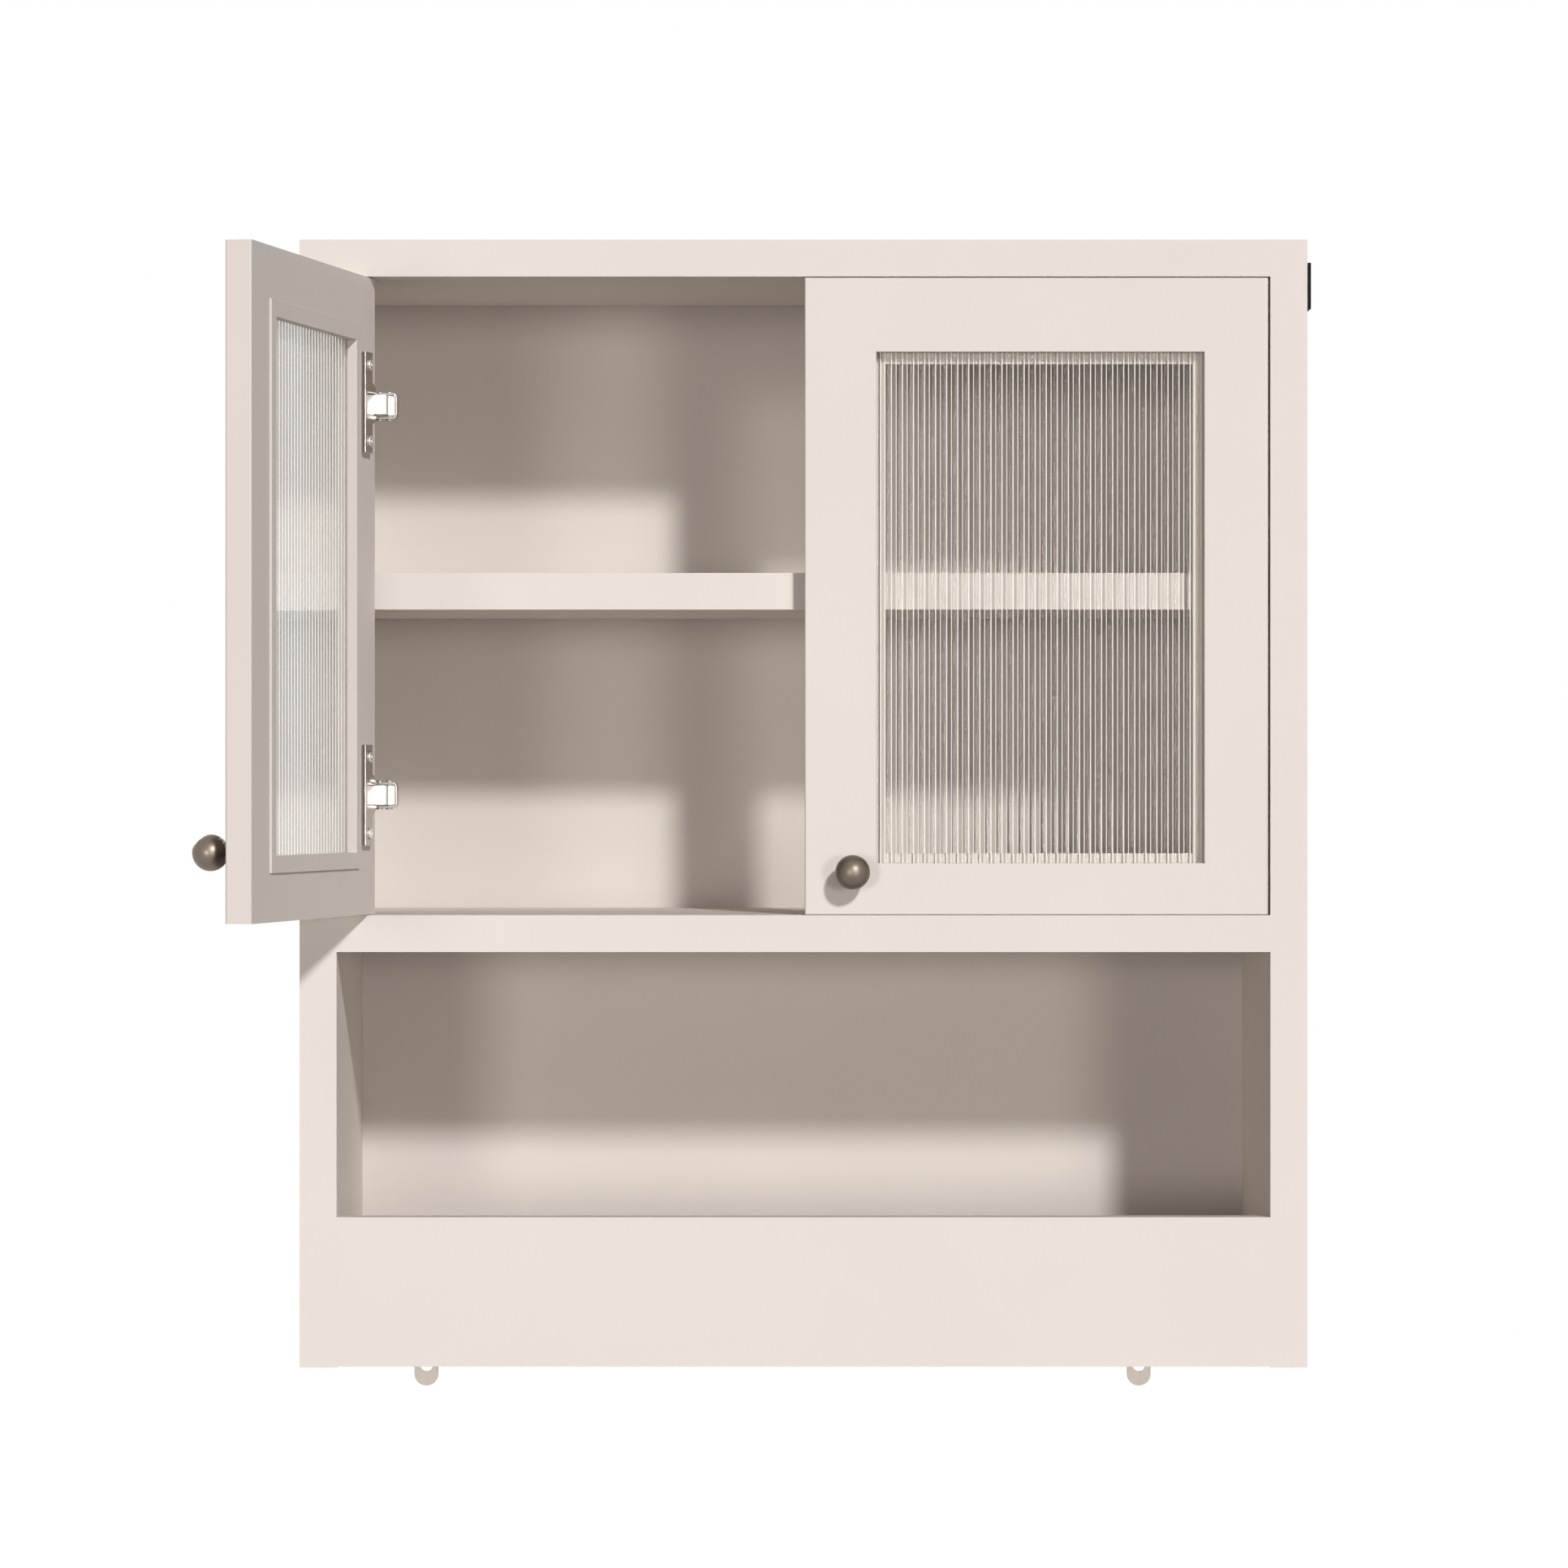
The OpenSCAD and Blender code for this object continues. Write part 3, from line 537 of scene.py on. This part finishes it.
def reeded_mesh(name, low, high, glass, turn):
    """A pane between two corners with upright round ribs on its front, turned into place."""
    outline = reeded_outline(low, high, glass)
    work = bmesh.new()
    rows = [[work.verts.new(turn @ Vector((x, y, z))) for x, y, _, _ in outline]
            for z in (low.z, high.z)]
    for at, (_, _, sharp, bright) in enumerate(outline):
        after = (at + 1) % len(outline)
        face = work.faces.new((rows[0][at], rows[0][after], rows[1][after], rows[1][at]))
        face.smooth = True
        # Flagged faces take the pale strip's material, a painted highlight
        face.material_index = int(bright)
        if sharp:
            work.edges.get((rows[0][at], rows[1][at])).smooth = False
    for cap in (work.faces.new(reversed(rows[0])), work.faces.new(rows[1])):
        for edge in cap.edges:
            edge.smooth = False
    return finished_mesh(work, name)


# Turned and cut metal pieces


def circle(radius, steps):
    """Points round a circle about the origin, anticlockwise."""
    turns = [2 * math.pi * step / steps for step in range(steps)]
    return [(radius * math.cos(turn), radius * math.sin(turn)) for turn in turns]


def arc(centre, radius, start, end, steps):
    """Points on an arc in (radius, height) space, angles in degrees from the radial axis."""
    angles = [math.radians(start + (end - start) * step / steps) for step in range(steps + 1)]
    return [(centre[0] + radius * math.cos(a), centre[1] + radius * math.sin(a)) for a in angles]


def ring(work, outline, height, place):
    """Vertices on an outline at a height, moved by place."""
    return [work.verts.new(place @ Vector((x, y, height))) for x, y in outline]


def lathe(work, profile, steps, place):
    """Faces of a solid turned about its Z axis from (radius, height) points, moved by place."""
    rings = []
    for radius, height in profile:
        if radius == 0:
            rings.append(ring(work, [(0, 0)], height, place) * steps)
        else:
            rings.append(ring(work, circle(radius, steps), height, place))
    for lower, upper in zip(rings, rings[1:]):
        for step in range(steps):
            after = (step + 1) % steps
            corners = [lower[step], lower[after], upper[after], upper[step]]
            kept = [c for at, c in enumerate(corners) if c not in corners[:at]]
            if len(kept) > 2:
                work.faces.new(kept).smooth = True


def knob_profile(ball_r, reach):
    """The knob's profile from its foot to the ball's top, in (radius, height) points."""
    centre = reach - ball_r
    foot_r = ball_r * KNOB_FOOT
    neck_r = ball_r * KNOB_NECK
    meet = math.degrees(math.asin(-math.sqrt(1 - (neck_r / ball_r) ** 2)))
    seat_x = foot_r - KNOB_SEAT_ROUND
    top = (foot_r - KNOB_FOOT_ROUND, KNOB_FOOT_HEIGHT - KNOB_FOOT_ROUND)
    neck = (neck_r + KNOB_NECK_ROUND, KNOB_FOOT_HEIGHT + KNOB_NECK_ROUND)
    profile = [(0, 0), (seat_x, 0)]
    profile += arc((seat_x, KNOB_SEAT_ROUND), KNOB_SEAT_ROUND, start=-90, end=0, steps=3)
    profile += arc(top, KNOB_FOOT_ROUND, start=0, end=90, steps=4)
    profile += arc(neck, KNOB_NECK_ROUND, start=270, end=180, steps=5)
    profile += arc((0, centre), ball_r, start=meet, end=90, steps=BALL_STEPS)[:-1]
    return profile + [(0, reach)]


def cross_outline(reach, half):
    """The corners of a cross with arms of that reach and half width, anticlockwise."""
    quarter = [(reach, -half), (reach, half), (half, half)]
    turned = []
    for turn in range(4):
        angle = math.radians(90 * turn)
        turned += [(x * math.cos(angle) - y * math.sin(angle),
                    x * math.sin(angle) + y * math.cos(angle)) for x, y in quarter]
    return turned


def cross_head(work, radius, height, shank, place):
    """A screw along place's Z axis: a round head with a cross recess, and its plain shank."""
    rounding = height * HEAD_ROUND
    top_r = radius - rounding
    shank_r = radius * SHANK
    profile = [(0, -shank), (shank_r, -shank), (shank_r, 0), (radius, 0)]
    profile += arc((top_r, height - rounding), rounding, start=0, end=90, steps=6)
    lathe(work, profile, SCREW_STEPS, place)
    rim = ring(work, circle(top_r, SCREW_STEPS), height, place)
    upper, lower = (
        ring(work, cross_outline(reach * radius, half * radius), height * level, place)
        for reach, half, level in RECESS
    )
    edges = []
    for loop in (rim, upper):
        edges += [work.edges.new(pair) for pair in zip(loop, loop[1:] + loop[:1])]
    bmesh.ops.triangle_fill(work, edges=edges, use_beauty=True)
    for at in range(len(upper)):
        after = (at + 1) % len(upper)
        work.faces.new((upper[at], upper[after], lower[after], lower[at]))
    work.faces.new(lower)


# Operators


class CABINET_OT_boards(bpy.types.Operator):
    """Paint the case's boards, the shelf and the back, and ease the boards' edges"""

    bl_idname = "cabinet.boards"
    bl_label = "Boards"

    def execute(self, context):
        paint = context.scene.cabinet_paint
        material = paint_material()
        for node in CASE_BOARDS:
            dress(node, material, paint.edge)
        dress("back_panel", paint_material("back_panel_paint", paint.back_shade))
        return {"FINISHED"}


class CABINET_OT_hidden_wood(bpy.types.Operator):
    """Give the rails and dowels their bare wood"""

    bl_idname = "cabinet.hidden_wood"
    bl_label = "Rails and dowels"

    def execute(self, context):
        wood = context.scene.cabinet_wood
        board = finish_material("bare_board", wood.board, roughness=0.7, mottle=0.10,
                                grain=0.002, depth=0.5)
        beech = finish_material("beech", wood.beech, roughness=0.6, mottle=0.10, grain=0.0008)
        for node in ("upper_rail", "lower_rail"):
            dress(node, board, wood.edge)
        dress("panel_dowels", beech)
        return {"FINISHED"}


class CABINET_OT_doors(bpy.types.Operator):
    """Paint the door frames and the beads that hold the glass"""

    bl_idname = "cabinet.doors"
    bl_label = "Door frames and beads"

    def execute(self, context):
        paint = context.scene.cabinet_paint
        material = paint_material("door_paint")
        for side in SIDES:
            dress(side + "_door_frame", material, paint.door_edge)
            dress(side + "_glass_bead", material, paint.bead_edge)
        return {"FINISHED"}


class CABINET_OT_glass(bpy.types.Operator):
    """Make the two reeded panes"""

    bl_idname = "cabinet.glass"
    bl_label = "Reeded glass"

    def execute(self, context):
        material = glass_material()
        # Painted highlight: pale opaque strips at the ribs' feet stand in for the glass's bright
        # lines
        foot = rib_highlight_material()
        for side in SIDES:
            node = side + "_fluted_glass"
            low, high = closed_box(node, side)
            mesh = reeded_mesh(side + "_reeded_pane", low, high, context.scene.cabinet_glass,
                               door_turn(side))
            make_piece(side + "_reeded_pane", mesh, material, body_of_side(side), [node])
            mesh.materials.append(foot)
        return {"FINISHED"}


class CABINET_OT_knobs(bpy.types.Operator):
    """Turn the two ball knobs"""

    bl_idname = "cabinet.knobs"
    bl_label = "Ball knobs"

    def execute(self, context):
        material = finish_material("dark_bronze", context.scene.cabinet_metal.bronze,
                                   roughness=0.42, metallic=1.0, mottle=0.12, grain=0.0005,
                                   depth=0.25)
        for side in SIDES:
            node = side + "_knob"
            low, high = closed_box(node, side)
            seat = Vector(((low.x + high.x) / 2, high.y, (low.z + high.z) / 2))
            outward = Matrix.Rotation(math.pi / 2, 4, "X")
            place = door_turn(side) @ Matrix.Translation(seat) @ outward
            work = bmesh.new()
            profile = knob_profile((high.z - low.z) / 2, high.y - low.y)
            lathe(work, profile, KNOB_STEPS, place)
            mesh = finished_mesh(work, side + "_ball_knob")
            make_piece(side + "_ball_knob", mesh, material, body_of_side(side), [node])
        return {"FINISHED"}


class CABINET_OT_hinges(bpy.types.Operator):
    """Plate the hinges, their pins and rivets, the knobs' screws and the shelf pins"""

    bl_idname = "cabinet.hinges"
    bl_label = "Hinges"

    def execute(self, context):
        metal = context.scene.cabinet_metal
        # The nickel's rounded edges carry a pale painted highlight where light glints on them
        nickel = finish_material("nickel_plate", metal.nickel, roughness=0.2, metallic=1.0,
                                 mottle=0.05, grain=0.0007, depth=0.1, rounding=metal.rounding,
                                 glint_share=metal.glint_share)
        # Painted light: a lighter copy of the nickel for the necks, which look near white where
        # they face the lamps
        bright = finish_material("bright_neck", metal.neck, roughness=0.45, metallic=1.0,
                                 mottle=0.03, grain=0.0007, depth=0.1)
        for side in SIDES:
            for level in LEVELS:
                dress(f"{side}_{level}_hinge_cup", nickel, metal.cup_edge)
                for part in ("arm", "plate"):
                    dress(f"{side}_{level}_hinge_{part}", nickel, metal.edge)
                dress(f"{side}_{level}_hinge_neck", bright, metal.edge)
            dress(side + "_hinge_pins", nickel)
            dress(side + "_knob_screw", nickel)
        for node in ("hinge_rivets", "shelf_pins"):
            dress(node, nickel, metal.small_edge)
        return {"FINISHED"}


class CABINET_OT_hinge_screws(bpy.types.Operator):
    """Make the cross-recess screws of the hinge cups, plates and arms"""

    bl_idname = "cabinet.hinge_screws"
    bl_label = "Hinge screws"

    def execute(self, context):
        # Painted light: a lighter copy of the nickel, so the screw heads' glints show bright
        material = finish_material("screw_plate", context.scene.cabinet_metal.screw,
                                   roughness=0.2, metallic=1.0, mottle=0.06, grain=0.0005,
                                   depth=0.1)
        for side in SIDES:
            self.add_screws(side + "_cup_screws", material, side)
        self.add_screws("plate_screws", material)
        self.add_screws("arm_screws", material)
        return {"FINISHED"}

    def add_screws(self, node, material, side=None):
        """Screws in the places of a node's solids.

        With a side they go into that door's back, and without one towards the case's sides.
        """
        work = bmesh.new()
        turn = door_turn(side) if side else Matrix.Identity(4)
        for low, high in closed_solid_boxes(node, side):
            centre = (low + high) / 2
            radius = (high.z - low.z) / 2
            if side:
                top = Vector((centre.x, high.y, centre.z))
                way = Vector((0, 1, 0))
                length = high.y - low.y
                height = radius * FLAT_HEAD
            else:
                inward = 1 if centre.x < 0 else -1
                top = Vector((high.x if inward > 0 else low.x, centre.y, centre.z))
                way = Vector((inward, 0, 0))
                length = high.x - low.x
                height = radius * DOMED_HEAD
            place = turn @ Matrix.Translation(top - way * height)
            place = place @ way.to_track_quat("Z", "Y").to_matrix().to_4x4()
            cross_head(work, radius, height, length - height, place)
        mesh = finished_mesh(work, node + "_crossed")
        body = body_of_side(side) if side else "case"
        make_piece(node + "_crossed", mesh, material, body, [node])


class CABINET_OT_wall_fixings(bpy.types.Operator):
    """Finish the wall lugs, keyhole plates and their screws"""

    bl_idname = "cabinet.wall_fixings"
    bl_label = "Wall fixings"

    def execute(self, context):
        metal = context.scene.cabinet_metal
        lug = finish_material("lug_paint", metal.lug, roughness=0.45, mottle=0.02, grain=0.0008)
        zinc = finish_material("zinc_plate", metal.zinc, roughness=0.35, metallic=1.0,
                               mottle=0.08, grain=0.001)
        for side in SIDES:
            dress(side + "_wall_lug", lug, metal.edge)
        for node in ("hanger_plates", "hanger_screws", "lug_screws"):
            dress(node, zinc, metal.small_edge)
        return {"FINISHED"}


class CABINET_OT_side_hook(bpy.types.Operator):
    """Coat the black hook on the right side and its screws"""

    bl_idname = "cabinet.side_hook"
    bl_label = "Side hook"

    def execute(self, context):
        metal = context.scene.cabinet_metal
        black = finish_material("black_coat", metal.black, roughness=0.6, mottle=0.1,
                                grain=0.0006, depth=0.3, specular=0.08)
        dress("side_hook", black, metal.edge)
        dress("hook_screws", black)
        return {"FINISHED"}


class CABINET_OT_stage(bpy.types.Operator):
    """Set up the camera, the lamps, the pale floor and the white surroundings"""

    bl_idname = "cabinet.stage"
    bl_label = "Stage"

    def execute(self, context):
        stage = context.scene.cabinet_stage
        low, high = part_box("left_side_panel")
        self.add_camera(stage, Vector((0, low.y, (low.z + high.z) / 2)))
        for name in LAMPS:
            self.add_lamp(name, getattr(stage, name), *LAMPS[name])
        self.add_floor(stage, low.z)
        self.add_world(stage)
        context.scene.view_settings.view_transform = "Standard"
        return {"FINISHED"}

    def add_camera(self, stage, middle):
        """The camera looks straight along +Y from a little left of and above the middle."""
        camera = bpy.data.objects.new("camera", bpy.data.cameras.new("camera"))
        bpy.context.scene.collection.objects.link(camera)
        camera.data.lens = stage.lens
        camera.data.sensor_width = SENSOR_WIDTH
        camera.data.clip_end = FARTHEST_SEEN
        camera.location = middle + Vector((-stage.offset, -stage.distance, stage.offset))
        camera.rotation_euler = (math.pi / 2, 0, 0)
        bpy.context.scene.camera = camera

    def add_lamp(self, name, strength, colour, size, azimuth, height):
        """A far lamp of that angular size, azimuth degrees to the right and height degrees up."""
        lamp = bpy.data.lights.new(name, "SUN")
        lamp.energy = strength
        lamp.color = colour
        lamp.angle = math.radians(size)
        holder = bpy.data.objects.new(name, lamp)
        bpy.context.scene.collection.objects.link(holder)
        holder.rotation_euler = (math.radians(90 - height), 0, math.radians(azimuth))

    def add_floor(self, stage, lowest):
        """A floor under the hung cabinet, which looks nearly white and takes its shadow."""
        bpy.ops.mesh.primitive_plane_add(
            size=stage.floor_size, location=(0, 0, lowest - stage.floor_drop)
        )
        floor = bpy.context.object
        floor.name = "floor"
        material, tree, surface = new_material("pale_floor")
        lit = add_node(tree, "ShaderNodeBsdfDiffuse", Color=shaded(stage.floor_colour))
        glow = add_node(tree, "ShaderNodeEmission", Color=shaded(WHITE),
                        Strength=calculate(tree, "MULTIPLY", seen_share(tree), stage.floor_glow))
        both = add_node(tree, "ShaderNodeAddShader")
        tree.links.new(lit.outputs["BSDF"], both.inputs[0])
        tree.links.new(glow.outputs["Emission"], both.inputs[1])
        tree.links.new(both.outputs["Shader"], surface)
        floor.data.materials.append(material)

    def add_world(self, stage):
        """White to the camera, in reflections and through glass, and faint light from overhead."""
        world = bpy.data.worlds.new("surroundings")
        bpy.context.scene.world = world
        world.use_nodes = True
        tree = world.node_tree
        tree.nodes.clear()
        coords = add_node(tree, "ShaderNodeTexCoord").outputs["Generated"]
        height = add_node(tree, "ShaderNodeSeparateXYZ", Vector=coords).outputs["Z"]
        strength = calculate(tree, "MULTIPLY", calculate(tree, "MAXIMUM", height, 0), stage.sky)
        sky = add_node(tree, "ShaderNodeBackground", Color=shaded(stage.sky_colour),
                       Strength=strength).outputs["Background"]
        white = add_node(tree, "ShaderNodeBackground", Color=shaded(WHITE)).outputs["Background"]
        add_node(tree, "ShaderNodeOutputWorld",
                 Surface=blend_shaders(tree, seen_share(tree), sky, white))


OPERATORS = (
    CABINET_OT_stage,
    CABINET_OT_boards,
    CABINET_OT_hidden_wood,
    CABINET_OT_doors,
    CABINET_OT_glass,
    CABINET_OT_knobs,
    CABINET_OT_hinges,
    CABINET_OT_hinge_screws,
    CABINET_OT_wall_fixings,
    CABINET_OT_side_hook,
)
SETTINGS = {
    "cabinet_paint": CabinetPaint,
    "cabinet_wood": CabinetWood,
    "cabinet_glass": CabinetGlass,
    "cabinet_metal": CabinetMetal,
    "cabinet_stage": CabinetStage,
}


class CABINET_PT_sidebar(bpy.types.Panel):
    """Lists the cabinet's settings and operators"""

    bl_label = "Medicine cabinet"
    bl_idname = "CABINET_PT_sidebar"
    bl_space_type = "VIEW_3D"
    bl_region_type = "UI"
    bl_category = "Cabinet"

    def draw(self, context):
        for name, group in SETTINGS.items():
            box = self.layout.box()
            box.label(text=name.replace("_", " ").capitalize())
            for field in group.__annotations__:
                box.prop(getattr(context.scene, name), field)
        for operator in OPERATORS:
            self.layout.operator(operator.bl_idname)


def register():
    """Registers the classes and hangs the settings on the scene."""
    for group in SETTINGS.values():
        bpy.utils.register_class(group)
    for operator in OPERATORS:
        bpy.utils.register_class(operator)
    bpy.utils.register_class(CABINET_PT_sidebar)
    for name, group in SETTINGS.items():
        setattr(bpy.types.Scene, name, bpy.props.PointerProperty(type=group))


def unregister():
    """Takes the settings and classes away again."""
    for name in SETTINGS:
        delattr(bpy.types.Scene, name)
    bpy.utils.unregister_class(CABINET_PT_sidebar)
    for operator in reversed(OPERATORS):
        bpy.utils.unregister_class(operator)
    for group in reversed(tuple(SETTINGS.values())):
        bpy.utils.unregister_class(group)


def main():
    """Builds the whole scene."""
    register()
    for operator in OPERATORS:
        family, name = operator.bl_idname.split(".")
        getattr(getattr(bpy.ops, family), name)()


if __name__ == "__main__":
    main()
